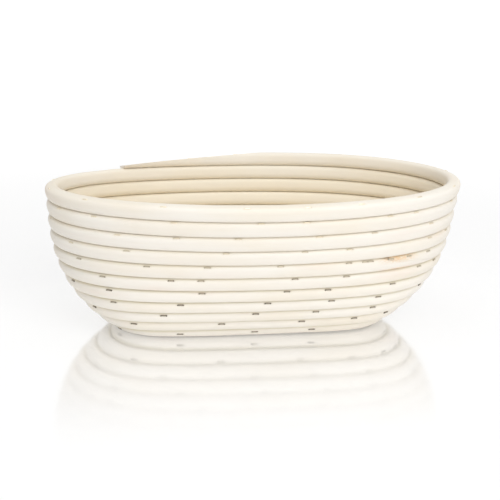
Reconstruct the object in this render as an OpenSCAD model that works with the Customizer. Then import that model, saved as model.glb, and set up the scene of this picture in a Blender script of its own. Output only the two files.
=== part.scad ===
// Oval proving basket, coiled from round rattan cane and stapled.
//
// Three lengths of cane are scarfed end to end and wound as one rising oval coil: flat under the
// base, then up and out along the wall to the rim. Each turn is stapled into the turn before it.
// +Z is up, +X runs along the basket, and the origin is on the table under its middle.

/* [Cane] */
// Thickness of the round cane, across two of its flats
cane_d = 8.3; // [7:0.1:8.3]
// Distance between neighbouring turns, measured along the wall
pitch = 9.1; // [9.1:0.1:10]
// Sides of the cane's section
cane_sides = 12; // [8:4:16]
// Rings of the section in each turn of the coil
rings_per_turn = 44; // [32:4:60]

/* [Coil] */
// Half turns wound from the middle of the base to the far side of the rim
half_turns = 27; // [19:2:31]
// Direction in which the rim's end points are wound to, anticlockwise from +X
rim_end_angle = 131; // [100:1:170]
// Half distance between the centres of the oval's two ends, in the base
base_offset = 47; // [40:1:60]
// Half distance between the centres of the oval's two ends, at the rim
rim_offset = 49.5; // [40:0.5:60]
// How far those centres spread further apart half way up
offset_bulge = 8.5; // [0:0.1:8.5]
// How far the base is wound off the rim's middle, towards -X
base_shift = 4; // [0:0.5:8]
// How far the base is turned from the rim, anticlockwise, as a hand winds it
base_twist = 2.5; // [0:0.1:4]
// How far the rim dips at the back, where the last turn ends
rim_dip = 2.8; // [0:0.1:3]
// Direction of the middle of that dip, anticlockwise from +X
dip_angle = 106; // [90:1:140]
// Turns of the base before the wall starts to lift
base_turns = 2.9; // [1.5:0.1:4]
// Turns over which the coil bends up from the base into the wall
lift_turns = 0.5; // [0.4:0.1:2]
// Lean of the wall above the table where it leaves the base
lean_foot = 32; // [20:1:50]
// Lean of the wall above the table at the rim
lean_rim = 79; // [60:0.5:84]
// How early the wall steepens, low for near the base and high for near the rim
lean_ease = 0.52; // [0.4:0.01:1.5]

/* [Splices] */
// Turns from the middle of the base to the splice under the wall
lower_splice_turn = 4.62; // [4:0.01:6]
// Turns from the middle of the base to the splice in the side of the wall
upper_splice_turn = 9.38; // [8:0.01:11]
// Length of each splice's long slanting cut
scarf_length = 60; // [40:1:90]
// Length of the taper that ends the cane at the rim
rim_taper_length = 93; // [60:1:130]
// Part of the cane's thickness left at the tip of a splice
tip_part = 0.1; // [0.05:0.01:0.3]
// Part of the cane's thickness left at the tip of the rim's taper
rim_tip_part = 0.2; // [0.1:0.01:0.3]

/* [Staples] */
// Width of a staple's crown, outside its legs
crown_width = 4.4; // [4:0.1:6]
// Length of a staple's legs, crown included
leg_length = 12.5; // [8:0.5:14]
// Thickness of the staple wire
wire_d = 0.8; // [0.6:0.1:1.2]
// Mean distance between the staples along a turn
staple_spacing = 38; // [25:1:60]
// How far a staple may stray along the turn, as a part of the mean distance
staple_stray = 0.35; // [0:0.05:0.4]
// Place of the crown at the foot, round the cane from its outer side towards the next turn
crown_foot_angle = 40; // [30:1:60]
// Place of the crown at the rim, where the next turn leaves more of the cane's top open
crown_rim_angle = 66; // [40:1:68]
// Staples about the tip of each splice, beside those of the turn
staples_per_splice = 4; // [2:1:6]
// Distance between a splice's staples
splice_staple_gap = 13; // [8:1:16]
// Staples down through the taper at the rim
rim_end_count = 3; // [2:1:4]

/* [Hidden] */
turns = (180 * half_turns + rim_end_angle) / 360;
start_turn = 0.2;
first_bend_turn = 0.6;
tight_bend_r = 2 * pitch;
step = 1 / rings_per_turn;
flat_r = cane_d / 2;
corner_r = flat_r / cos(180 / cane_sides);
base_ovalness = 0.12;
rim_ovalness = 1;
oval_ease = 1.6;
dip_narrowness = 16;
joint_gap = 0.05;
cut_crown = 0.05;
first_stapled_turn = 1;
last_stapled_turn = floor(turns);

function smooth(x) = let (k = min(max(x, 0), 1)) k * k * (3 - 2 * k);
function mix(a, b, k) = a + (b - a) * k;

// Lean of the wall at turn t: flat under the base, then ever steeper to the rim.
function wall_part(t) = min(max((t - base_turns) / (turns - base_turns), 0.0001), 1.05);
function lean(t) = smooth((t - base_turns) / lift_turns)
    * (lean_foot + (lean_rim - lean_foot) * pow(wall_part(t), lean_ease));

// The wall's profile from the middle of the base: [distance out, height of the cane's centre].
function profile(t, out, up) = t > turns + 1 ? [] : concat(
    [[out, up]],
    profile(
        t + step,
        out + pitch * step * cos(lean(t + step / 2)),
        up + pitch * step * sin(lean(t + step / 2))
    )
);
PROFILE = profile(0, 0, flat_r);
function profile_at(t) = let (
    place = max(t, 0) / step,
    index = floor(place)
) mix(PROFILE[index], PROFILE[index + 1], place - index);

// Lift that keeps the leaning section's lowest corner off the table.
function corner_lift(t) = let (facet = 360 / cane_sides)
    corner_r * cos(facet / 2 - lean(t) % facet) - flat_r;

// Centre of the cane at turn t. Straight sides and round ends in the base turn gradually into
// the rim's full oval, and the rim's middle is put over the origin.
function angle_at(t) = 360 * (t - turns) + rim_end_angle;
function twist_at(t) = base_twist * (1 - t / turns);
function dip_at(t) = rim_dip * pow(wall_part(t), 2)
    * pow(cos((angle_at(t) - dip_angle) / 2), dip_narrowness);
function wound_at(t) = let (
    a = angle_at(t),
    p = profile_at(t),
    part = t / turns,
    spread = offset_bulge * pow(4 * part * (1 - part), 2),
    offset = mix(base_offset, rim_offset, part) + spread,
    oval = mix(base_ovalness, rim_ovalness, pow(part, oval_ease)),
    end_x = offset * cos(a) / sqrt(pow(cos(a), 2) + pow(oval * sin(a), 2)),
    x = end_x + p[0] * cos(a) - base_shift * (1 - part),
    y = p[0] * sin(a),
    k = twist_at(t),
    z = p[1] + corner_lift(t) - dip_at(t)
) [x * cos(k) - y * sin(k), x * sin(k) + y * cos(k), z];
RIM = [for (i = [0 : rings_per_turn]) wound_at(turns - i * step)];
function middle(i) = (max([for (p = RIM) p[i]]) + min([for (p = RIM) p[i]])) / 2;
rim_middle = [middle(0), middle(1), 0];
function centre_at(t) = wound_at(t) - rim_middle;

// The cane's own directions at turn t: along it, across the wall towards the next turn, and out.
function unit(v) = v / norm(v);
function along(t) = unit(centre_at(t + step / 4) - centre_at(t - step / 4));
function onward(t) = let (
    a = angle_at(t) + twist_at(t),
    s = lean(t),
    rise = [cos(s) * cos(a), cos(s) * sin(a), sin(s)],
    w = along(t)
) unit(rise - (rise * w) * w);
function outward(t) = cross(along(t), onward(t));

// The cane's run is its length from its start in the base. TRAVEL holds it at each ring.
TRAVEL = [
    for (
        t = start_turn, run = 0;
        t < turns + step;
        run = run + norm(centre_at(t + step) - centre_at(t)), t = t + step
    ) [t, run]
];
TURN_AT_RUN = [for (p = TRAVEL) [p[1], p[0]]];
function run_at(t) = lookup(t, TRAVEL);
function turn_at(run) = lookup(run, TURN_AT_RUN);
end_run = run_at(turns);

// Corner i of the section, as [out, on], cut off below low and above high. Both run from -1 to 1
// of the cane's half thickness, and a cut face is left very slightly crowned.
function chord(level) = sqrt(max(1 - pow(level / corner_r, 2), 0.02));
function cut_corner(out, on, level) = [
    out * (on * level < 0 ? chord(level) : 1),
    mix(level, on, cut_crown)
];
function kept_corner(i, low, high) = let (
    a = 360 * (i + 0.5) / cane_sides,
    out = corner_r * cos(a),
    on = corner_r * sin(a)
) on > high * flat_r ? cut_corner(out, on, high * flat_r)
    : on < low * flat_r ? cut_corner(out, on, low * flat_r)
    : [out, on];

// Sweeps the cane from turn t0 to turn t1. low and high are functions of the turn that say how
// much of the section is kept.
module cane(t0, t1, low, high) {
    count = ceil((t1 - t0) / step);
    rings = [for (i = [0 : count]) mix(t0, t1, i / count)];
    corners = [
        for (t = rings)
            let (c = centre_at(t), u = outward(t), v = onward(t))
            for (i = [0 : cane_sides - 1])
                let (k = kept_corner(i, low(t), high(t)))
                c + u * k[0] + v * k[1]
    ];
    sides = [
        for (r = [0 : count - 1], i = [0 : cane_sides - 1])
            let (j = (i + 1) % cane_sides, a = r * cane_sides, b = a + cane_sides)
            each [[a + i, a + j, b + i], [a + j, b + j, b + i]]
    ];
    start = [for (i = [cane_sides - 1 : -1 : 0]) i];
    end = [for (i = [0 : cane_sides - 1]) count * cane_sides + i];
    polyhedron(points = corners, faces = concat([start], sides, [end]), convexity = 20);
}

// The slanting cut of a splice: from the top of the cane at its start to the bottom at its end.
function cut_part(t, splice) = (run_at(t) - run_at(splice)) / scarf_length + 0.5;
function cut_level(t, splice) = mix(1, -1, min(max(cut_part(t, splice), 0), 1));
function cut_turn(splice, part) = turn_at(run_at(splice) + (part - 0.5) * scarf_length);
function below_cut(t, splice) = cut_part(t, splice) <= 0 ? 1 : cut_level(t, splice) - joint_gap;
function above_cut(t, splice) = cut_part(t, splice) >= 1 ? -1 : cut_level(t, splice) + joint_gap;
function rim_cut(t) = min(1, mix(2 * rim_tip_part - 1, 1, (end_run - run_at(t)) / rim_taper_length));

module base_cane() {
    color("burlywood")
        cane(start_turn, cut_turn(lower_splice_turn, 1 - tip_part),
            function (t) -1, function (t) below_cut(t, lower_splice_turn));
}

module wall_cane() {
    color("wheat")
        cane(cut_turn(lower_splice_turn, tip_part), cut_turn(upper_splice_turn, 1 - tip_part),
            function (t) above_cut(t, lower_splice_turn),
            function (t) below_cut(t, upper_splice_turn));
}

module rim_cane() {
    color("antiquewhite")
        cane(cut_turn(upper_splice_turn, tip_part), turns,
            function (t) above_cut(t, upper_splice_turn), function (t) rim_cut(t));
}

// The way back from a point on turn t to the middle of the turn before it, if there is one.
function back(t, point) = t > start_turn + 1 ? centre_at(t - 1) - point : -onward(t);

// One staple at turn t: its crown lies along the cane, at the place given across the section,
// and its legs go back through the cane into the turn before.
module staple(t, out, on) {
    w = along(t);
    crown = centre_at(t) + out * outward(t) + on * onward(t);
    way = back(t, crown);
    legs = unit(way - (way * w) * w);
    depth = cross(w, legs);
    place = [
        [w[0], legs[0], depth[0], crown[0]],
        [w[1], legs[1], depth[1], crown[1]],
        [w[2], legs[2], depth[2], crown[2]],
        [0, 0, 0, 1]
    ];
    half = crown_width / 2;
    multmatrix(place)
        translate([0, 0, -wire_d / 2])
            linear_extrude(height = wire_d)
                polygon([
                    [-half, 0], [half, 0], [half, leg_length], [half - wire_d, leg_length],
                    [half - wire_d, wire_d], [wire_d - half, wire_d],
                    [wire_d - half, leg_length], [-half, leg_length]
                ]);
}

// The crown's place round the cane follows the lean of the wall.
function crown_angle(t) = mix(crown_foot_angle, crown_rim_angle, pow(wall_part(t), lean_ease));
module side_staple(t) {
    a = crown_angle(t);
    staple(t, corner_r * cos(a), corner_r * sin(a));
}

// The staples of one turn, spaced unevenly as a hand tool leaves them, and none where the first
// turns bend too tightly to take one.
function in_tight_bend(t) = profile_at(t)[0] < tight_bend_r && abs(sin(angle_at(t))) < 0.9;
module turn_staples(number) {
    start = run_at(max(number - 0.5, first_bend_turn));
    end = number < last_stapled_turn ? run_at(number + 0.5) : end_run - rim_taper_length;
    count = round((end - start) / staple_spacing);
    stray = rands(-staple_stray, staple_stray, count, number);
    color("dimgray")
        for (i = [0 : count - 1])
            let (t = turn_at(mix(start, end, (i + 0.5 + stray[i]) / count)))
            if (!in_tight_bend(t)) side_staple(t);
}

// The staples about the place where a splice's slanting cut starts.
module splice_staples(splice) {
    middle_run = run_at(splice) - scarf_length / 2;
    first_run = middle_run - (staples_per_splice - 1) / 2 * splice_staple_gap;
    color("dimgray")
        for (i = [0 : staples_per_splice - 1])
            side_staple(turn_at(first_run + i * splice_staple_gap));
}

// The staples down through the taper that ends the rim.
module rim_end_staples() {
    color("dimgray")
        for (i = [0 : rim_end_count - 1])
            let (t = turn_at(end_run - rim_taper_length * (i + 0.5) / rim_end_count))
            staple(t, 0, flat_r * rim_cut(t));
}

function turn_name(number) = str("staples_turn_", number < 10 ? "0" : "", number);

base_cane();
wall_cane();
rim_cane();
for (i = [first_stapled_turn : last_stapled_turn])
    turn_staples(i);
splice_staples(lower_splice_turn);  // lower_splice_staples
splice_staples(upper_splice_turn);  // upper_splice_staples
rim_end_staples();
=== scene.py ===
"""Looks for an oval proving basket: one rising coil of rattan cane, held by wire staples.

The three canes are swept along the rule that the basket is wound by, so that each turn lies on
the one before it, and the staples are bent from round wire and pressed into the cane.
"""

import logging
import math
from dataclasses import dataclass, field
from enum import Enum
from functools import cached_property
from typing import Any, Callable

import bpy
import numpy as np
from mathutils import Matrix, Vector


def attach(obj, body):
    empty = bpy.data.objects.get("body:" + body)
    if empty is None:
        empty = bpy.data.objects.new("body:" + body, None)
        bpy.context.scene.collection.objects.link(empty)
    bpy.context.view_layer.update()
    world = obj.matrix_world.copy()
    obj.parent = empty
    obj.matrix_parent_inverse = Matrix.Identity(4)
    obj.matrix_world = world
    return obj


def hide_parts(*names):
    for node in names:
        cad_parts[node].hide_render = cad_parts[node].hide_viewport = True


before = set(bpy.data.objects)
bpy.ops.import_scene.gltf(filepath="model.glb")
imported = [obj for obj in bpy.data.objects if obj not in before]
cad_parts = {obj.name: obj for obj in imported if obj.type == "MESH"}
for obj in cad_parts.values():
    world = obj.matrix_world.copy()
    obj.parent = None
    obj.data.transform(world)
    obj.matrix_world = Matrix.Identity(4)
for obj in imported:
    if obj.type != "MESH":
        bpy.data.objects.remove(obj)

BODY = "root"
WELD = 0.000002
SHARP_EDGE = 42.0
DENT_REACH = 0.0019
log = logging.getLogger("basket")


class Slot(Enum):
    """The record's material slots."""

    BASE = "base_rattan"
    WALL = "wall_rattan"
    RIM = "rim_rattan"
    WIRE = "staple_wire"


# --------------------------------------------------------------------------- node trees


def operator(operation: str, swapped: bool = False) -> Callable[..., "Value"]:
    """Makes a method that adds one Math node.

    Args:
        operation: the Math node's operation.
        swapped: whether the other value comes first.

    Returns:
        The method.
    """

    def method(self: "Value", *others: Any) -> "Value":
        """The Math node's output for self and the others."""
        values = (*others, self) if swapped else (self, *others)
        return self.graph.math(operation, *values)

    return method


class Value:
    """A node's output, which adds Math nodes when it is used in an expression."""

    def __init__(self, graph: "Graph", socket: bpy.types.NodeSocket) -> None:
        """Wraps one output socket of a graph's node."""
        self.graph = graph
        self.socket = socket

    __add__ = __radd__ = operator("ADD")
    __sub__ = operator("SUBTRACT")
    __rsub__ = operator("SUBTRACT", swapped=True)
    __mul__ = __rmul__ = operator("MULTIPLY")
    __truediv__ = operator("DIVIDE")
    __rtruediv__ = operator("DIVIDE", swapped=True)
    __pow__ = operator("POWER")
    __gt__ = operator("GREATER_THAN")
    __lt__ = operator("LESS_THAN")
    __abs__ = operator("ABSOLUTE")
    at_least = operator("MAXIMUM")
    at_most = operator("MINIMUM")
    floor = operator("FLOOR")
    cos = operator("COSINE")
    sin = operator("SINE")
    sign = operator("SIGN")
    exp = operator("EXPONENT")

    def __neg__(self) -> "Value":
        """-self."""
        return self * -1.0

    def rise(self, start: float, end: float) -> "Value":
        """A smooth step.

        Args:
            start: the value up to which the step is 0.
            end: the value from which the step is 1.

        Returns:
            The step, from 0 to 1.
        """
        return self.graph.node(
            "ShaderNodeMapRange",
            {"interpolation_type": "SMOOTHSTEP"},
            {"Value": self, "From Min": start, "From Max": end},
        )


class Graph:
    """A node tree under construction, for a material or for Geometry Nodes."""

    def __init__(self, tree: bpy.types.NodeTree) -> None:
        """Starts on an empty tree."""
        self.tree = tree

    def node(
        self,
        kind: str,
        settings: dict[str, Any] | None = None,
        inputs: dict[int | str, Any] | None = None,
        output: int | str = 0,
    ) -> Value | None:
        """Adds a node.

        Args:
            kind: the node's type.
            settings: its properties, which are set first because they choose its sockets.
            inputs: values or links by socket name or place.
            output: name or place of the output that is wanted.

        Returns:
            That output, or None where the node has none.
        """
        made = self.tree.nodes.new(kind)
        for name, value in (settings or {}).items():
            setattr(made, name, value)
        for key, value in (inputs or {}).items():
            socket = self.find(made.inputs, key)
            if isinstance(value, Value):
                self.tree.links.new(value.socket, socket)
            else:
                socket.default_value = value
        return Value(self, self.find(made.outputs, output)) if made.outputs else None

    def find(self, sockets: Any, key: int | str) -> bpy.types.NodeSocket:
        """The socket at a place, or the first one in use that has a name."""
        if isinstance(key, int):
            shown = [s for s in sockets if s.enabled]
            return shown[key]
        return next(s for s in sockets if s.enabled and s.name == key)

    def other(self, value: Value, output: str) -> Value:
        """Another output of the node that a value comes from."""
        return Value(self, self.find(value.socket.node.outputs, output))

    def math(self, operation: str, *values: Any) -> Value:
        """Adds one Math node.

        Args:
            operation: the Math node's operation.
            values: its inputs in order, as numbers or other values.

        Returns:
            The Math node's output.
        """
        return self.node("ShaderNodeMath", {"operation": operation}, dict(enumerate(values)))

    def vector(self, operation: str, *values: Any) -> Value:
        """Adds one Vector Math node and returns its vector output."""
        return self.node(
            "ShaderNodeVectorMath", {"operation": operation}, dict(enumerate(values))
        )

    def scaled(self, vector: Value, size: Any) -> Value:
        """A vector made longer by a number."""
        return self.node(
            "ShaderNodeVectorMath",
            {"operation": "SCALE"},
            {"Vector": vector, "Scale": size},
        )

    def joined(self, x: Any, y: Any, z: Any) -> Value:
        """A vector made from three numbers."""
        return self.node("ShaderNodeCombineXYZ", {}, {"X": x, "Y": y, "Z": z})

    def split(self, vector: Value) -> tuple[Value, Value, Value]:
        """The three numbers in a vector."""
        x = self.node("ShaderNodeSeparateXYZ", {}, {0: vector})
        return x, self.other(x, "Y"), self.other(x, "Z")


class ShaderGraph(Graph):
    """A material's node tree."""

    def __init__(self, name: str) -> None:
        """Makes the material and clears its tree."""
        self.material = bpy.data.materials.new(name)
        self.material.use_nodes = True
        super().__init__(self.material.node_tree)
        self.tree.nodes.clear()

    def attribute(self, name: str, output: str = "Fac") -> Value:
        """A stored attribute of the piece, as a number, or as a Vector."""
        return self.node("ShaderNodeAttribute", {"attribute_name": name}, {}, output)

    def noise(self, vector: Value, detail: float, seed: float) -> Value:
        """Noise from 0 to 1.

        Args:
            vector: where it is read, with its scale already in it.
            detail: how many finer layers it has.
            seed: its place in the fourth direction.

        Returns:
            The noise's value.
        """
        return self.node(
            "ShaderNodeTexNoise",
            {"noise_dimensions": "4D"},
            {"Vector": vector, "W": seed, "Scale": 1.0, "Detail": detail},
        )

    def stretched(self, vector: Value, size: tuple[float, float, float]) -> Value:
        """A vector whose parts are each scaled by their own number."""
        return self.vector("MULTIPLY", vector, size)

    def mixed(self, share: Any, first: Any, second: Any, blend: str = "MIX") -> Value:
        """A colour between two.

        Args:
            share: how much of the second, from 0 to 1.
            first: a colour or a link.
            second: a colour or a link.
            blend: the Mix node's way of blending.

        Returns:
            The mixed colour.
        """
        return self.node(
            "ShaderNodeMix",
            {"data_type": "RGBA", "blend_type": blend, "clamp_factor": True},
            {"Factor": share, "A": rgba(first), "B": rgba(second)},
            "Result",
        )

    def bump(self, height: Value, strength: float, distance: float) -> Value:
        """A Bump node's normal, for a height from 0 to 1 and a distance in metres."""
        return self.node(
            "ShaderNodeBump",
            {},
            {"Height": height, "Strength": strength, "Distance": distance},
        )

    def surface(self, shader: Value) -> bpy.types.Material:
        """Ends the tree on a shader and returns the material."""
        self.node("ShaderNodeOutputMaterial", {}, {"Surface": shader})
        return self.material


class SweepGraph(Graph):
    """A Geometry Nodes tree with named inputs."""

    def __init__(self, name: str, inputs: dict[str, str]) -> None:
        """Makes the tree.

        Args:
            name: the tree's name.
            inputs: each named input's socket type, after the geometry itself.
        """
        super().__init__(bpy.data.node_groups.new(name, "GeometryNodeTree"))
        panel = self.tree.interface
        panel.new_socket("Geometry", in_out="INPUT", socket_type="NodeSocketGeometry")
        for label, kind in inputs.items():
            panel.new_socket(label, in_out="INPUT", socket_type=kind)
        panel.new_socket("Geometry", in_out="OUTPUT", socket_type="NodeSocketGeometry")
        self.entry = self.node("NodeGroupInput")

    def input(self, name: str) -> Value:
        """The tree's input of that name."""
        return self.other(self.entry, name)

    def named(self, name: str, kind: str = "FLOAT") -> Value:
        """A named attribute as a field."""
        return self.node(
            "GeometryNodeInputNamedAttribute", {"data_type": kind}, {"Name": name}
        )

    def store(self, geometry: Value, name: str, value: Value, kind: str) -> Value:
        """Stores a field on the points under a name and returns the geometry."""
        return self.node(
            "GeometryNodeStoreNamedAttribute",
            {"data_type": kind, "domain": "POINT"},
            {"Geometry": geometry, "Name": name, "Value": value},
        )

    def end(self, geometry: Value, finish: Value) -> bpy.types.NodeTree:
        """Realizes the instances, sets the finish and ends the tree."""
        real = self.node("GeometryNodeRealizeInstances", {}, {"Geometry": geometry})
        dressed = self.node(
            "GeometryNodeSetMaterial", {}, {"Geometry": real, "Material": finish}
        )
        self.node("NodeGroupOutput", {}, {"Geometry": dressed})
        return self.tree

    def apply(
        self, piece: bpy.types.Object, values: dict[str, Any], keep: tuple[str, ...]
    ) -> bpy.types.Object:
        """Runs the tree on a piece and leaves a plain mesh.

        Args:
            piece: the object whose mesh is the tree's geometry.
            values: the named inputs.
            keep: the attributes that the finish reads.

        Returns:
            The same object with its final mesh.
        """
        modifier = piece.modifiers.new("build", "NODES")
        modifier.node_group = self.tree
        for item in self.tree.interface.items_tree:
            if item.in_out == "INPUT" and item.name in values:
                modifier[item.identifier] = values[item.name]
        depsgraph = bpy.context.evaluated_depsgraph_get()
        mesh = bpy.data.meshes.new_from_object(
            piece.evaluated_get(depsgraph),
            preserve_all_data_layers=True,
            depsgraph=depsgraph,
        )
        piece.modifiers.clear()
        piece.data = mesh
        mesh.name = piece.name
        spare = [
            a.name
            for a in mesh.attributes
            if not a.is_internal and not a.is_required and a.name not in keep
        ]
        for name in spare:
            if not name.startswith(("sharp", "material_index")):
                mesh.attributes.remove(mesh.attributes[name])
        return piece


def rgba(colour: Any) -> Any:
    """A colour given as three numbers gets its fourth, and a link is left as it is."""
    return (*colour, 1.0) if isinstance(colour, tuple) and len(colour) == 3 else colour


def new_object(name: str, mesh: bpy.types.Mesh) -> bpy.types.Object:
    """Links a new object with a mesh into the scene."""
    made = bpy.data.objects.new(name, mesh)
    bpy.context.scene.collection.objects.link(made)
    return made


def point_mesh(
    name: str,
    points: np.ndarray,
    attributes: dict[str, np.ndarray],
    edges: list[tuple[int, int]] | None = None,
) -> bpy.types.Mesh:
    """A mesh of points that carry attributes.

    Args:
        name: the mesh's name.
        points: one row for each point.
        attributes: one number or one vector for each point, by name.
        edges: pairs of points that are joined.

    Returns:
        The mesh.
    """
    mesh = bpy.data.meshes.new(name)
    mesh.from_pydata([tuple(p) for p in points], edges or [], [])
    for label, values in attributes.items():
        if values.ndim == 2:
            made = mesh.attributes.new(label, "FLOAT_VECTOR", "POINT")
            made.data.foreach_set("vector", values.astype(np.float32).ravel())
        else:
            made = mesh.attributes.new(label, "FLOAT", "POINT")
            made.data.foreach_set("value", values.astype(np.float32))
    return mesh


# ------------------------------------------------------------------------------ winding


def smooth(x: np.ndarray) -> np.ndarray:
    """A smooth step of x from 0 to 1."""
    k = np.clip(x, 0, 1)
    return k * k * (3 - 2 * k)


def mix(a: Any, b: Any, k: Any) -> Any:
    """A value between a and b."""
    return a + (b - a) * k


def unit(v: np.ndarray) -> np.ndarray:
    """Vectors made one long."""
    return v / np.linalg.norm(v, axis=-1, keepdims=True)


@dataclass
class Winding:
    """The rule that the basket is wound by, in metres, and in turns from the base's middle."""

    pitch: float = 0.0091
    half_cane: float = 0.00415
    facet: float = 30.0
    rings: int = 44
    half_turns: int = 27
    end_angle: float = 131.0
    start: float = 0.2
    base_offset: float = 0.047
    rim_offset: float = 0.0495
    offset_bulge: float = 0.0085
    base_shift: float = 0.004
    base_twist: float = 2.5
    rim_dip: float = 0.0028
    dip_angle: float = 106.0
    dip_narrowness: int = 16
    base_turns: float = 2.9
    lift_turns: float = 0.5
    lean_foot: float = 32.0
    lean_rim: float = 79.0
    lean_ease: float = 0.52
    base_ovalness: float = 0.12
    oval_ease: float = 1.6

    @cached_property
    def turns(self) -> float:
        """Turns from the middle of the base to the end of the cane."""
        return (180 * self.half_turns + self.end_angle) / 360

    def wall_part(self, t: np.ndarray) -> np.ndarray:
        """How far up the wall turn t is, from 0 to 1."""
        part = (t - self.base_turns) / (self.turns - self.base_turns)
        return np.clip(part, 1e-4, 1.05)

    def lean(self, t: np.ndarray) -> np.ndarray:
        """Lean of the wall above the table, in degrees."""
        rise = (self.lean_rim - self.lean_foot) * self.wall_part(t) ** self.lean_ease
        return smooth((t - self.base_turns) / self.lift_turns) * (self.lean_foot + rise)

    @cached_property
    def profile(self) -> np.ndarray:
        """Distance out and height of the cane's centre, for each ring from the middle."""
        step = 1 / self.rings
        lean = np.radians(self.lean((np.arange(int((self.turns + 1) / step)) + 0.5) * step))
        moves = self.pitch * step * np.stack([np.cos(lean), np.sin(lean)], 1)
        start = np.array([[0.0, self.half_cane]])
        return np.concatenate([start, start + np.cumsum(moves, 0)])

    def angle(self, t: np.ndarray) -> np.ndarray:
        """Direction in which turn t is wound, in radians anticlockwise from +X."""
        return np.radians(360 * (t - self.turns) + self.end_angle)

    def twist(self, t: np.ndarray) -> np.ndarray:
        """How far turn t is turned from the rim, in radians."""
        return np.radians(self.base_twist * (1 - t / self.turns))

    def wound(self, t: np.ndarray) -> np.ndarray:
        """The cane's centre before the rim's middle is put over the origin."""
        a = self.angle(t)
        place = np.maximum(t, 0) * self.rings
        ring = np.arange(len(self.profile))
        out, up = (np.interp(place, ring, self.profile[:, i]) for i in (0, 1))
        part = t / self.turns
        spread = self.offset_bulge * (4 * part * (1 - part)) ** 2
        offset = mix(self.base_offset, self.rim_offset, part) + spread
        oval = mix(self.base_ovalness, 1.0, np.maximum(part, 0) ** self.oval_ease)
        end = offset * np.cos(a) / np.sqrt(np.cos(a) ** 2 + (oval * np.sin(a)) ** 2)
        corner = self.half_cane / math.cos(math.radians(self.facet / 2))
        off = np.radians(self.facet / 2 - self.lean(t) % self.facet)
        lift = corner * np.cos(off) - self.half_cane
        near = np.cos((a - math.radians(self.dip_angle)) / 2) ** self.dip_narrowness
        dip = self.rim_dip * self.wall_part(t) ** 2 * near
        x = end + out * np.cos(a) - self.base_shift * (1 - part)
        y, k = out * np.sin(a), self.twist(t)
        turned = [x * np.cos(k) - y * np.sin(k), x * np.sin(k) + y * np.cos(k)]
        return np.stack([*turned, up + lift - dip], -1)

    @cached_property
    def middle(self) -> np.ndarray:
        """The middle of the rim's last turn, at no height."""
        rim = self.wound(self.turns - np.arange(self.rings + 1) / self.rings)
        mid = (rim.max(0) + rim.min(0)) / 2
        return np.array([mid[0], mid[1], 0.0])

    def centre(self, t: np.ndarray) -> np.ndarray:
        """The cane's centre at turn t."""
        return self.wound(t) - self.middle

    def directions(self, t: np.ndarray) -> tuple[np.ndarray, np.ndarray, np.ndarray]:
        """The cane's own directions: along it, on towards the next turn, and out of the wall."""
        quarter = 0.25 / self.rings
        along = unit(self.centre(t + quarter) - self.centre(t - quarter))
        a, s = self.angle(t) + self.twist(t), np.radians(self.lean(t))
        rise = np.stack([np.cos(s) * np.cos(a), np.cos(s) * np.sin(a), np.sin(s)], -1)
        onward = unit(rise - (rise * along).sum(-1, keepdims=True) * along)
        return along, onward, np.cross(along, onward)

    @cached_property
    def travel(self) -> tuple[np.ndarray, np.ndarray]:
        """Turns, and the length of cane up to each, close together."""
        t = np.linspace(self.start, self.turns, 12000)
        steps = np.linalg.norm(np.diff(self.centre(t), axis=0), axis=1)
        return t, np.concatenate([[0.0], np.cumsum(steps)])

    def run_at(self, t: float) -> float:
        """Length of cane up to turn t."""
        return float(np.interp(t, *self.travel))

    def turn_at(self, run: np.ndarray) -> np.ndarray:
        """The turn that a length of cane reaches."""
        return np.interp(run, self.travel[1], self.travel[0])

    @cached_property
    def end_run(self) -> float:
        """The whole length of cane."""
        return float(self.travel[1][-1])

    @cached_property
    def room(self) -> tuple[np.ndarray, np.ndarray, np.ndarray]:
        """Turns, and the half distances to the neighbouring cane before and after each.

        A turn with no neighbour on one side keeps the cane's own half thickness there.
        """
        t = self.turn_at(np.linspace(0, self.end_run, 4200))
        centre = self.centre(t)
        onward = self.directions(t)[1]
        halves = np.full((2, len(t)), self.half_cane)
        for i in range(len(t)):
            gap = np.abs(t - t[i])
            near = np.flatnonzero((gap > 0.3) & (gap < 1.25))
            way = centre[near] - centre[i]
            far = np.linalg.norm(way, axis=1)
            side = way @ onward[i]
            for row, sign in enumerate((-1, 1)):
                found = far[(sign * side > 0.8 * far) & (far < 1.35 * self.pitch)]
                if len(found):
                    halves[row, i] = found.min() / 2
        kernel = np.hanning(15) / np.hanning(15).sum()
        eased = [
            np.convolve(np.pad(h, 7, mode="edge"), kernel, mode="valid") for h in halves
        ]
        return t, eased[0], eased[1]


# ------------------------------------------------------------------------------- canes


@dataclass
class Staple:
    """One staple: where its crown lies on the cane, and which way it lies."""

    crown: np.ndarray
    along: np.ndarray
    legs: np.ndarray
    turn: float


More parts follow.
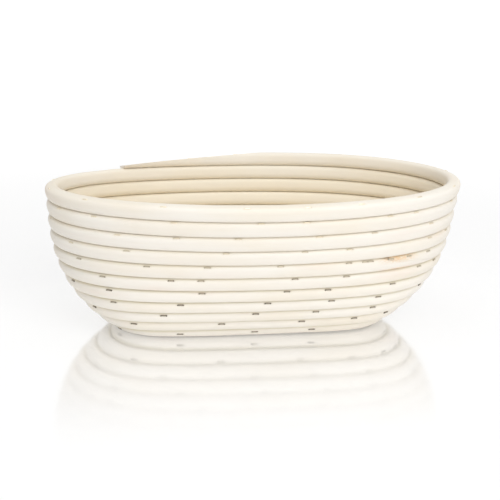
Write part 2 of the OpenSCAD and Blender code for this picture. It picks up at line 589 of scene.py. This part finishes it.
@dataclass
class Basket:
    """What the canes share: the winding, the splices and the cane's section."""

    winding: Winding = field(default_factory=Winding)
    lower_splice: float = 4.62
    upper_splice: float = 9.38
    scarf: float = 0.060
    taper: float = 0.093
    tip: float = 0.1
    rim_tip: float = 0.2
    joint_gap: float = 0.014
    foot_squareness: float = 2.2
    rim_squareness: float = 2.9
    ring_gap: float = 0.0013
    sides: int = 28

    def squareness(self, t: np.ndarray) -> np.ndarray:
        """How far the cane is pressed flat against its neighbours, 2 for a round section."""
        part = self.winding.wall_part(t)
        return mix(self.foot_squareness, self.rim_squareness, part)

    def cut_run(self, splice: float, part: float) -> float:
        """Length of cane at a part of the way through a splice."""
        return self.winding.run_at(splice) + (part - 0.5) * self.scarf

    def cut_part(self, run: np.ndarray, splice: float) -> np.ndarray:
        """How far through a splice each length of cane is, from 0 to 1 inside it."""
        return (run - self.winding.run_at(splice)) / self.scarf + 0.5

    def below(self, run: np.ndarray, splice: float) -> np.ndarray:
        """Highest part of the section that is kept, under a splice's slanting cut."""
        part = self.cut_part(run, splice)
        level = mix(1.0, -1.0, np.clip(part, 0, 1)) - self.joint_gap
        return np.where(part <= 0, 1.0, level)

    def above(self, run: np.ndarray, splice: float) -> np.ndarray:
        """Lowest part of the section that is kept, over a splice's slanting cut."""
        part = self.cut_part(run, splice)
        level = mix(1.0, -1.0, np.clip(part, 0, 1)) + self.joint_gap
        return np.where(part >= 1, -1.0, level)

    def rim_level(self, run: np.ndarray) -> np.ndarray:
        """Highest part of the section that is kept, in the taper that ends the rim."""
        part = (self.winding.end_run - run) / self.taper
        return np.minimum(1.0, mix(2 * self.rim_tip - 1, 1.0, part))

    def surface(self, staple: Staple, sink: float) -> Staple:
        """Moves a staple's crown onto the cane's visible surface.

        Args:
            staple: the staple where the frame has it.
            sink: how deep the wire's middle lies under the surface.

        Returns:
            The moved staple.
        """
        winding = self.winding
        t = winding.travel[0]
        near = int(np.argmin(((winding.centre(t) - staple.crown) ** 2).sum(1)))
        turn = t[near]
        centre = winding.centre(np.array([turn]))[0]
        _, onward, outward = (d[0] for d in winding.directions(np.array([turn])))
        offset = staple.crown - centre
        out, on = offset @ outward, offset @ onward
        half_on = np.interp(turn, winding.room[0], winding.room[2 if on > 0 else 1])
        power = float(self.squareness(turn))
        reach = (abs(out / winding.half_cane) ** power + abs(on / half_on) ** power) ** (
            1 / power
        )
        out, on = out / reach, on / reach
        top = float(self.rim_level(np.array([winding.run_at(turn)]))[0]) * half_on
        on = min(on, top)
        size = math.hypot(out, on)
        out, on = out * (1 - sink / size), on * (1 - sink / size)
        return Staple(centre + out * outward + on * onward, staple.along, staple.legs, turn)


class SweptCane:
    """The tree that sweeps a cane's section along its rings and presses the staples in."""

    def __init__(self) -> None:
        """Builds the tree."""
        g = SweepGraph(
            "swept_cane",
            {
                "Sides": "NodeSocketInt",
                "Thinning": "NodeSocketFloat",
                "Thinning length": "NodeSocketFloat",
                "Sway": "NodeSocketFloat",
                "Seed": "NodeSocketFloat",
                "Staples": "NodeSocketObject",
                "Dent": "NodeSocketFloat",
                "Dent width": "NodeSocketFloat",
                "Finish": "NodeSocketMaterial",
            },
        )
        self.graph = g
        rings = g.input("Geometry")
        sides = g.input("Sides")
        count = g.node(
            "GeometryNodeAttributeDomainSize", {"component": "MESH"}, {"Geometry": rings}
        )
        columns = sides + 1.0
        sheet = g.node(
            "GeometryNodeMeshGrid", {}, {"Vertices X": count, "Vertices Y": columns}
        )
        index = g.node("GeometryNodeInputIndex")
        ring = ((index + 0.5) / columns).floor()
        angle = (index - ring * columns) / sides * math.tau

        def at(name: str, kind: str = "FLOAT") -> Value:
            """The value that a ring carries, read for each point of the sheet."""
            found = (
                g.node("GeometryNodeInputPosition") if name == "position" else g.named(name, kind)
            )
            return g.node(
                "GeometryNodeSampleIndex",
                {"data_type": kind, "domain": "POINT"},
                {"Geometry": rings, "Value": found, "Index": ring},
            )

        def power(value: Value, exponent: Value) -> Value:
            """A power that keeps the value's sign."""
            return value.sign() * abs(value) ** exponent

        square = at("squareness")
        out = power(angle.cos(), 2.0 / square)
        on = power(angle.sin(), 2.0 / square)
        low, high = at("low"), at("high")

        def chord(level: Value) -> Value:
            """Half width of the section where it is cut at a level."""
            left = (1.0 - abs(level) ** square).at_least(0.0)
            return left ** (1.0 / square)

        over, under = on > high, on < low
        limit = 1.0 - over * (1.0 - chord(high)) - under * (1.0 - chord(low))
        out = out.at_most(limit).at_least(-limit)
        level = on.at_most(high).at_least(low)
        run = at("run")

        def waver(offset: float) -> Value:
            """Slow unevenness along the cane, from 0 to 1."""
            return g.node(
                "ShaderNodeTexNoise",
                {"noise_dimensions": "1D"},
                {
                    "W": run / g.input("Thinning length") + g.input("Seed") + offset,
                    "Scale": 1.0,
                    "Detail": 2.0,
                },
            )

        thin = 1.0 - g.input("Thinning") * waver(0.0)
        half_out = at("half_out")
        up = on > 0.0
        half_on = at("half_down") + (at("half_up") - at("half_down")) * up
        sway = -g.input("Sway") * waver(7.3)
        out_size = out * half_out * thin
        on_size = level * half_on
        place = g.vector(
            "ADD",
            at("position", "FLOAT_VECTOR"),
            g.vector(
                "ADD",
                g.scaled(at("outward", "FLOAT_VECTOR"), out_size + sway),
                g.scaled(at("onward", "FLOAT_VECTOR"), on_size),
            ),
        )
        tube = g.node("GeometryNodeSetPosition", {}, {"Geometry": sheet, "Position": place})
        tube = g.store(tube, "cane_place", g.joined(run, out_size, on_size), "FLOAT_VECTOR")
        tube = g.store(tube, "outer", out, "FLOAT")
        # how far across the section towards the neighbouring rows, which the finish reads for
        # painted shade in the grooves and for the splice stain
        tube = g.store(tube, "groove", abs(on), "FLOAT")
        tube = g.store(tube, "row", at("row"), "FLOAT")
        tube = g.store(tube, "stain", at("stain"), "FLOAT")
        wires = g.node(
            "GeometryNodeObjectInfo", {}, {"Object": g.input("Staples")}, "Geometry"
        )
        away = g.node(
            "GeometryNodeProximity", {"target_element": "EDGES"}, {0: wires}, "Distance"
        )
        scaled = away / g.input("Dent width")
        near = (-(scaled * scaled)).exp()
        tube = g.store(tube, "stapled", near, "FLOAT")
        tube = g.node(
            "GeometryNodeMergeByDistance", {}, {"Geometry": tube, "Distance": WELD}
        )
        inward = g.scaled(
            g.node("GeometryNodeInputNormal"),
            g.named("stapled") * -g.input("Dent"),
        )
        tube = g.node("GeometryNodeSetPosition", {}, {"Geometry": tube, "Offset": inward})
        sharp = g.node("GeometryNodeInputMeshEdgeAngle") > math.radians(SHARP_EDGE)
        tube = g.node(
            "GeometryNodeSetShadeSmooth",
            {"domain": "EDGE"},
            {"Geometry": tube, "Selection": sharp, "Shade Smooth": False},
        )
        g.end(tube, g.input("Finish"))


@dataclass
class Cane:
    """One length of cane, from one splice to the next."""

    node: str
    slot: Slot
    basket: Basket
    start_run: float
    end_run: float
    low: Callable[[np.ndarray], np.ndarray]
    high: Callable[[np.ndarray], np.ndarray]
    seed: float
    thinning: float = 0.035
    thinning_length: float = 0.05
    sway: float = 0.00022
    dent: float = 0.00022
    dent_width: float = 0.0009
    stain_run: float | None = None
    stain_length: float = 0.010

    def ring_mesh(self) -> bpy.types.Mesh:
        """The cane's rings as points, with the section's size and cut at each."""
        winding = self.basket.winding
        count = round((self.end_run - self.start_run) / self.basket.ring_gap)
        run = np.linspace(self.start_run, self.end_run, count + 1)
        low, high = self.low(run), self.high(run)
        half_out = np.full(len(run), winding.half_cane)
        run = np.concatenate([run[:1], run, run[-1:]])
        low, high = (np.concatenate([v[:1], v, v[-1:]]) for v in (low, high))
        half_out = np.concatenate([[0.0], half_out, [0.0]])
        for end in (0, -1):
            low[end] = high[end] = (low[end] + high[end]) / 2
        t = winding.turn_at(run)
        _, onward, outward = winding.directions(t)
        turns, down, up = winding.room
        stain = np.zeros(len(run))
        if self.stain_run is not None:
            away = (run - self.stain_run) / self.stain_length
            stain = np.exp(-(away**2))
        return point_mesh(
            self.node,
            winding.centre(t),
            {
                "outward": outward,
                "onward": onward,
                "half_out": half_out,
                "half_down": np.interp(t, turns, down),
                "half_up": np.interp(t, turns, up),
                "squareness": self.basket.squareness(t),
                "low": low,
                "high": high,
                "run": run,
                "row": t,
                "stain": stain,
            },
        )

    def build(
        self, sweep: SweptCane, wires: bpy.types.Object, finish: bpy.types.Material
    ) -> bpy.types.Object:
        """Sweeps the cane and puts it in its CAD node's place.

        Args:
            sweep: the tree that sweeps a cane.
            wires: the crowns of all staples, as edges.
            finish: the cane's material.

        Returns:
            The finished piece.
        """
        piece = new_object(self.node + "_wound", self.ring_mesh())
        sweep.graph.apply(
            piece,
            {
                "Sides": self.basket.sides,
                "Thinning": self.thinning,
                "Thinning length": self.thinning_length,
                "Sway": self.sway,
                "Seed": self.seed,
                "Staples": wires,
                "Dent": self.dent,
                "Dent width": self.dent_width,
                "Finish": finish,
            },
            ("cane_place", "outer", "groove", "row", "stain", "stapled"),
        )
        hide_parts(self.node)
        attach(piece, BODY)
        return piece


# ------------------------------------------------------------------------------ staples


class BentStaples:
    """The tree that bends one staple from wire and sets it at each crown."""

    def __init__(self) -> None:
        """Builds the tree."""
        g = SweepGraph(
            "bent_staples",
            {
                "Crown": "NodeSocketFloat",
                "Legs": "NodeSocketFloat",
                "Wire": "NodeSocketFloat",
                "Bend": "NodeSocketFloat",
                "Finish": "NodeSocketMaterial",
            },
        )
        self.graph = g
        half = g.input("Crown") / 2.0
        line = g.node("GeometryNodeMeshLine", {}, {"Count": 4})
        index = g.node("GeometryNodeInputIndex")
        far = abs(index - 1.5) > 1.0
        side = (index > 1.5) * 2.0 - 1.0
        corners = g.node(
            "GeometryNodeSetPosition",
            {},
            {
                "Geometry": line,
                "Position": g.joined(side * half, 0.0, -far * g.input("Legs")),
            },
        )
        wire = g.node("GeometryNodeMeshToCurve", {}, {0: corners})
        wire = g.node(
            "GeometryNodeFilletCurve",
            {"mode": "POLY"},
            {"Curve": wire, "Count": 3, "Radius": g.input("Bend"), "Limit Radius": True},
        )
        ring = g.node(
            "GeometryNodeCurvePrimitiveCircle",
            {"mode": "RADIUS"},
            {"Resolution": 8, "Radius": g.input("Wire") / 2.0},
        )
        bent = g.node(
            "GeometryNodeCurveToMesh",
            {},
            {"Curve": wire, "Profile Curve": ring, "Fill Caps": True},
        )
        place = g.split(g.node("GeometryNodeInputPosition"))
        bent = g.store(bent, "wire_place", abs(place[0]) / half, "FLOAT")
        turned = g.node(
            "FunctionNodeAxesToRotation",
            {"primary_axis": "X", "secondary_axis": "Z"},
            {0: g.named("along", "FLOAT_VECTOR"), 1: g.named("out_of_cane", "FLOAT_VECTOR")},
        )
        placed = g.node(
            "GeometryNodeInstanceOnPoints",
            {},
            {"Points": g.input("Geometry"), "Instance": bent, "Rotation": turned},
        )
        g.end(placed, g.input("Finish"))


@dataclass
class StapleRow:
    """The staples of one CAD node, read from its solids."""

    node: str
    basket: Basket
    crown: float = 0.0044
    legs: float = 0.0122
    wire: float = 0.0008
    bend: float = 0.0008
    sink: float = 0.00022
    # painted shade with rusting on the staple wire, darker on the lower rows
    dark_turn: float = 6.0
    dark_most: float = 1.2
    dark_fall: float = 0.2
    dark_least: float = 0.04
    dark_spread: tuple[float, float] = (-0.2, 0.12)

    def solids(self) -> list[np.ndarray]:
        """The corners of each loose solid in the CAD node."""
        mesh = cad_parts[self.node].data
        points = np.array([v.co for v in mesh.vertices], float)
        keys = np.round(points * 1e6).astype(int)
        _, first, joined = np.unique(keys, axis=0, return_index=True, return_inverse=True)
        joined = joined.ravel()
        group = np.arange(len(first))
        faces = [[joined[i] for i in p.vertices] for p in mesh.polygons]
        changed = True
        while changed:
            changed = False
            for face in faces:
                least = min(group[i] for i in face)
                for i in face:
                    if group[i] != least:
                        group[i] = least
                        changed = True
        return [points[first[group == g]] for g in np.unique(group)]

    def read(self, corners: np.ndarray) -> Staple:
        """Finds where a staple's crown lies from its corners.

        Args:
            corners: the corners of one staple's solid.

        Returns:
            The staple.
        """
        middle = corners.mean(0)
        axes = np.linalg.svd(corners - middle)[2]
        legs, along = axes[0], axes[1]
        reach = (corners - middle) @ legs
        ends = [reach < reach.min() + 1e-4, reach > reach.max() - 1e-4]
        crown_first = ends[0].sum() < ends[1].sum()
        crown = corners[ends[0] if crown_first else ends[1]].mean(0)
        return Staple(crown, along, legs if crown_first else -legs, 0.0)

    @cached_property
    def staples(self) -> list[Staple]:
        """The node's staples, on the cane's visible surface."""
        return [self.basket.surface(self.read(c), self.sink) for c in self.solids()]

    def build(self, tree: BentStaples, finish: bpy.types.Material) -> bpy.types.Object:
        """Bends the staples and puts them in their CAD node's place."""
        rng = np.random.default_rng(sum(map(ord, self.node)))
        turns = np.array([s.turn for s in self.staples])
        # painted shade with rusting on each staple, darker on the lower rows
        dark = self.dark_most - self.dark_fall * (turns - self.dark_turn)
        dark = np.clip(dark, self.dark_least, 1.0)
        dark = np.clip(dark + rng.uniform(*self.dark_spread, len(turns)), 0.0, 1.0)
        piece = new_object(
            self.node + "_wire",
            point_mesh(
                self.node + "_wire",
                np.array([s.crown for s in self.staples]),
                {
                    "along": np.array([s.along for s in self.staples]),
                    "out_of_cane": np.array([-s.legs for s in self.staples]),
                    "dark": dark,
                },
            ),
        )
        tree.graph.apply(
            piece,
            {
                "Crown": self.crown - self.wire,
                "Legs": self.legs,
                "Wire": self.wire,
                "Bend": self.bend,
                "Finish": finish,
            },
            ("wire_place", "dark"),
        )
        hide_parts(self.node)
        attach(piece, BODY)
        return piece


def crown_edges(rows: list[StapleRow]) -> bpy.types.Object:
    """The crowns of all staples as edges, for the canes to be dented under."""
    points, edges = [], []
    for staple in (s for row in rows for s in row.staples):
        for sign in (-1, 1):
            points.append(staple.crown + sign * DENT_REACH * staple.along)
        edges.append((len(points) - 2, len(points) - 1))
    return new_object("crown_edges", point_mesh("crown_edges", np.array(points), {}, edges))


# ----------------------------------------------------------------------------- finishes


@dataclass(frozen=True)
class RattanFinish:
    """Peeled rattan core: pale, finely streaked along its length, with painted shade and some
    dust in its grooves.
    """

    name: str
    pale: tuple[float, float, float] = (0.92, 0.875, 0.80)
    warm: tuple[float, float, float] = (0.88, 0.79, 0.64)
    blush: tuple[float, float, float] = (0.89, 0.75, 0.65)
    # painted shade with some dust, for the grooves between rows
    groove: tuple[float, float, float] = (0.72, 0.66, 0.48)
    # painted bounce light: the warmer colour on the wall's inside face
    inside: tuple[float, float, float] = (0.86, 0.765, 0.59)
    # rusty stain with painted dent shade, round the staples
    rust_and_dent_shade: tuple[float, float, float] = (0.42, 0.31, 0.17)
    orange: tuple[float, float, float] = (0.80, 0.50, 0.22)
    roughness: float = 0.56
    seed: float = 0.0

    def material(self) -> bpy.types.Material:
        """The finish as a material."""
        g = ShaderGraph(self.name)
        place = g.attribute("cane_place", "Vector")
        broad = g.noise(g.stretched(place, (14.0, 45.0, 45.0)), 2.0, self.seed)
        streak = g.noise(g.stretched(place, (70.0, 1500.0, 1500.0)), 3.0, self.seed + 3.0)
        fibre = g.noise(g.stretched(place, (160.0, 4200.0, 4200.0)), 2.0, self.seed + 5.0)
        patch = g.noise(g.stretched(place, (22.0, 90.0, 90.0)), 1.0, self.seed + 9.0)
        speck = g.noise(g.stretched(place, (900.0, 1400.0, 1400.0)), 2.0, self.seed + 12.0)
        outer = g.attribute("outer")
        groove = g.attribute("groove")
        colour = g.mixed(broad.rise(0.38, 0.72) * 0.55, self.pale, self.warm)
        colour = g.mixed(patch.rise(0.58, 0.78) * 0.35, colour, self.blush)
        row = g.attribute("row")
        rim = row.rise(12.3, 13.2)
        # painted warm bounce light on the inside face, weaker on the rim rows
        painted_inside_bounce = (0.1 - outer).rise(0.0, 0.7) * (0.7 - 0.5 * rim)
        colour = g.mixed(painted_inside_bounce, colour, self.inside)
        colour = g.mixed(streak.rise(0.52, 0.75) * 0.22, colour, self.warm)
        # painted shade with some dust along the grooves between rows, stronger on the lower rows
        low = 1.0 - row.rise(6.0, 12.0)
        edge = groove.rise(0.80, 0.99) * (0.1 + 0.5 * low)
        colour = g.mixed(edge, colour, self.groove)
        # rusty stain with painted shade in each staple dent, stronger on the lower rows
        staple_rust_and_shade = g.attribute("stapled").rise(0.25, 0.95) * (0.35 + 0.65 * speck)
        colour = g.mixed(staple_rust_and_shade * (0.2 + 0.35 * low), colour, self.rust_and_dent_shade)
        stain = g.attribute("stain") * speck.rise(0.25, 0.6) * groove.rise(0.15, 0.9)
        colour = g.mixed(stain.at_most(1.0) * 0.75, colour, self.orange)
        rough = self.roughness + (streak - 0.5) * 0.16
        relief = streak * 0.6 + fibre * 0.4
        shader = g.node(
            "ShaderNodeBsdfPrincipled",
            {},
            {
                "Base Color": colour,
                "Roughness": rough,
                "Specular IOR Level": 0.35,
                "Normal": g.bump(relief, 0.5, 0.00012),
            },
        )
        return g.surface(shader)


@dataclass(frozen=True)
class WireFinish:
    """Staple wire, with painted shade and rusting that darken it on the lower rows and where it
    bends into the cane.
    """

    name: str = Slot.WIRE.value
    bright: tuple[float, float, float] = (0.84, 0.76, 0.60)
    # painted shade with rusting: the wire's darkest colour
    dark: tuple[float, float, float] = (0.055, 0.045, 0.035)
    roughness: float = 0.42

    def material(self) -> bpy.types.Material:
        """The finish as a material."""
        g = ShaderGraph(self.name)
        place = g.node("ShaderNodeTexCoord", {}, {}, "Object")
        grain = g.noise(g.scaled(place, 1800.0), 3.0, 1.0)
        # painted shade with rusting, darker where the wire bends into the cane and on the lower
        # rows
        bend = g.attribute("wire_place").rise(0.35, 0.95)
        staple_shade_and_rust = g.attribute("dark")
        share = (staple_shade_and_rust * (0.55 + bend * 0.45) + (grain - 0.5) * 0.3).at_most(1.0)
        colour = g.mixed(share.at_least(0.0), self.bright, self.dark)
        shader = g.node(
            "ShaderNodeBsdfPrincipled",
            {},
            {
                "Base Color": colour,
                "Metallic": 1.0,
                "Roughness": self.roughness + (grain - 0.5) * 0.3,
                "Normal": g.bump(grain, 0.3, 0.00005),
            },
        )
        return g.surface(shader)


@dataclass(frozen=True)
class FloorFinish:
    """Glossy white floor, whose mirror fades away from the basket."""

    name: str = "white_floor"
    half_length: float = 0.068
    half_width: float = 0.030
    mirror_start: float = 0.02
    mirror_end: float = 0.155
    mirror: float = 0.58
    cast_glow: float = 0.42
    near_glow: float = 0.495
    far_glow: float = 0.85
    glow_start: float = 0.15
    glow_end: float = 1.2
    gloss_roughness: float = 0.11
    colour: tuple[float, float, float] = (0.5, 0.5, 0.5)

    def material(self) -> bpy.types.Material:
        """The finish as a material."""
        g = ShaderGraph(self.name)
        x, y, _ = g.split(g.node("ShaderNodeTexCoord", {}, {}, "Object"))
        over_x = (abs(x) - self.half_length).at_least(0.0)
        over_y = (abs(y) - self.half_width).at_least(0.0)
        away = (over_x * over_x + over_y * over_y) ** 0.5
        fade = (1.0 - away.rise(self.mirror_start, self.mirror_end)) * self.mirror
        cast, near, far = (
            (glow,) * 3 for glow in (self.cast_glow, self.near_glow, self.far_glow)
        )
        glow = g.mixed(away.rise(self.glow_start, self.glow_end), near, far)
        seen = g.node("ShaderNodeLightPath", {}, {}, "Is Camera Ray")
        glow = g.mixed(seen, cast, glow)
        plain = g.node(
            "ShaderNodeBsdfPrincipled",
            {},
            {
                "Base Color": rgba(self.colour),
                "Roughness": 0.6,
                "Specular IOR Level": 0.2,
                "Emission Color": glow,
                "Emission Strength": 1.0,
            },
        )
        shiny = g.node(
            "ShaderNodeBsdfAnisotropic",
            {},
            {"Color": (1.0, 1.0, 1.0, 1.0), "Roughness": self.gloss_roughness},
        )
        return g.surface(
            g.node("ShaderNodeMixShader", {}, {0: fade, 1: plain, 2: shiny})
        )


# ------------------------------------------------------------------------------- studio


@dataclass
class Studio:
    """A white floor, soft light and the camera."""

    floor_size: float = 60.0
    floor_level: float = -0.0001
    sky: float = 0.45
    mirrored_sky: float = 1.0
    key: float = 13.0
    key_size: float = 1.1
    key_place: tuple[float, float, float] = (0.35, -1.25, 1.05)
    fill: float = 6.8
    fill_size: float = 1.2
    fill_place: tuple[float, float, float] = (-0.1, -0.1, 1.6)
    aim: tuple[float, float, float] = (0.0, 0.0, 0.04)
    lens: float = 73.7
    distance: float = 0.6248
    elevation: float = 16.0
    yaw: float = 7.09
    roll: float = 1.3
    side: float = -0.00245
    height: float = 0.044

    def build_floor(self) -> None:
        """Lays the floor just under the basket."""
        half = self.floor_size / 2
        mesh = bpy.data.meshes.new("floor")
        signs = ((-1, -1), (1, -1), (1, 1), (-1, 1))
        corners = [(x * half, y * half, self.floor_level) for x, y in signs]
        mesh.from_pydata(corners, [], [(0, 1, 2, 3)])
        mesh.materials.append(FloorFinish().material())
        new_object("floor", mesh)

    def light(
        self, name: str, place: tuple[float, float, float], size: float, power: float
    ) -> None:
        """Hangs a square soft light that faces the basket."""
        data = bpy.data.lights.new(name, "AREA")
        data.shape = "SQUARE"
        data.size = size
        data.energy = power
        lamp = bpy.data.objects.new(name, data)
        lamp.location = place
        way = Vector(self.aim) - Vector(place)
        lamp.rotation_euler = way.to_track_quat("-Z", "Y").to_euler()
        bpy.context.scene.collection.objects.link(lamp)

    def build_lights(self) -> None:
        """Lights the basket from all round, and more from the front and above."""
        world = bpy.data.worlds.new("white")
        world.use_nodes = True
        g = Graph(world.node_tree)
        g.tree.nodes.clear()
        mirrored = g.node("ShaderNodeLightPath", {}, {}, "Is Glossy Ray")
        strength = self.sky + mirrored * (self.mirrored_sky - self.sky)
        white = {"Color": (1.0, 1.0, 1.0, 1.0), "Strength": strength}
        sky = g.node("ShaderNodeBackground", {}, white)
        g.node("ShaderNodeOutputWorld", {}, {"Surface": sky})
        bpy.context.scene.world = world
        self.light("key", self.key_place, self.key_size, self.key)
        self.light("top", self.fill_place, self.fill_size, self.fill)

    def build_camera(self) -> None:
        """Puts the camera in front of the basket, a little above it and to its left."""
        e, psi, r = (math.radians(v) for v in (self.elevation, self.yaw, self.roll))
        level = math.cos(e)
        ahead = Vector((math.sin(psi) * level, math.cos(psi) * level, -math.sin(e)))
        right = Vector((math.cos(psi), -math.sin(psi), 0.0))
        up = right.cross(ahead)
        place = right * self.side + Vector((0, 0, self.height)) - ahead * self.distance
        across = right * math.cos(r) + up * math.sin(r)
        above = up * math.cos(r) - right * math.sin(r)
        data = bpy.data.cameras.new("camera")
        data.lens = self.lens
        data.sensor_width = 36.0
        camera = bpy.data.objects.new("camera", data)
        turned = Matrix((across, above, -ahead)).transposed()
        camera.matrix_world = Matrix.Translation(place) @ turned.to_4x4()
        bpy.context.scene.collection.objects.link(camera)
        bpy.context.scene.camera = camera

    def build(self) -> None:
        """Builds the floor, the lights and the camera."""
        bpy.context.scene.view_settings.view_transform = "Standard"
        self.build_floor()
        self.build_lights()
        self.build_camera()


# --------------------------------------------------------------------------------- main


def wind_canes(basket: Basket) -> list[tuple[Cane, RattanFinish]]:
    """The three canes and their finishes, from the base to the rim."""
    winding = basket.winding
    lower, upper = basket.lower_splice, basket.upper_splice
    base = Cane(
        "base_cane",
        Slot.BASE,
        basket,
        0.0,
        basket.cut_run(lower, 1 - basket.tip),
        lambda run: np.full(len(run), -1.0),
        lambda run: basket.below(run, lower),
        seed=1.0,
    )
    wall = Cane(
        "wall_cane",
        Slot.WALL,
        basket,
        basket.cut_run(lower, basket.tip),
        basket.cut_run(upper, 1 - basket.tip),
        lambda run: basket.above(run, lower),
        lambda run: basket.below(run, upper),
        seed=4.0,
        stain_run=basket.cut_run(upper, 0.2),
    )
    rim = Cane(
        "rim_cane",
        Slot.RIM,
        basket,
        basket.cut_run(upper, basket.tip),
        winding.end_run,
        lambda run: basket.above(run, upper),
        basket.rim_level,
        seed=8.0,
        stain_run=basket.cut_run(upper, 0.2),
    )
    return [
        (base, RattanFinish(Slot.BASE.value, seed=2.0)),
        (wall, RattanFinish(Slot.WALL.value, seed=21.0)),
        (rim, RattanFinish(Slot.RIM.value, seed=47.0)),
    ]


def main() -> None:
    """Builds the basket's pieces in order, and then the studio."""
    logging.basicConfig(level=logging.INFO, format="%(message)s")
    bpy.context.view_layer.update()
    basket = Basket()
    rows = [StapleRow(name, basket) for name in sorted(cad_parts) if "staples" in name]
    wires = crown_edges(rows)
    sweep = SweptCane()
    for cane, finish in wind_canes(basket):
        piece = cane.build(sweep, wires, finish.material())
        log.info("%s: %d faces", piece.name, len(piece.data.polygons))
    bpy.data.objects.remove(wires)
    tree = BentStaples()
    wire = WireFinish().material()
    for row in rows:
        piece = row.build(tree, wire)
        log.info("%s: %d staples", piece.name, len(row.staples))
    Studio().build()


if __name__ == "__main__":
    main()
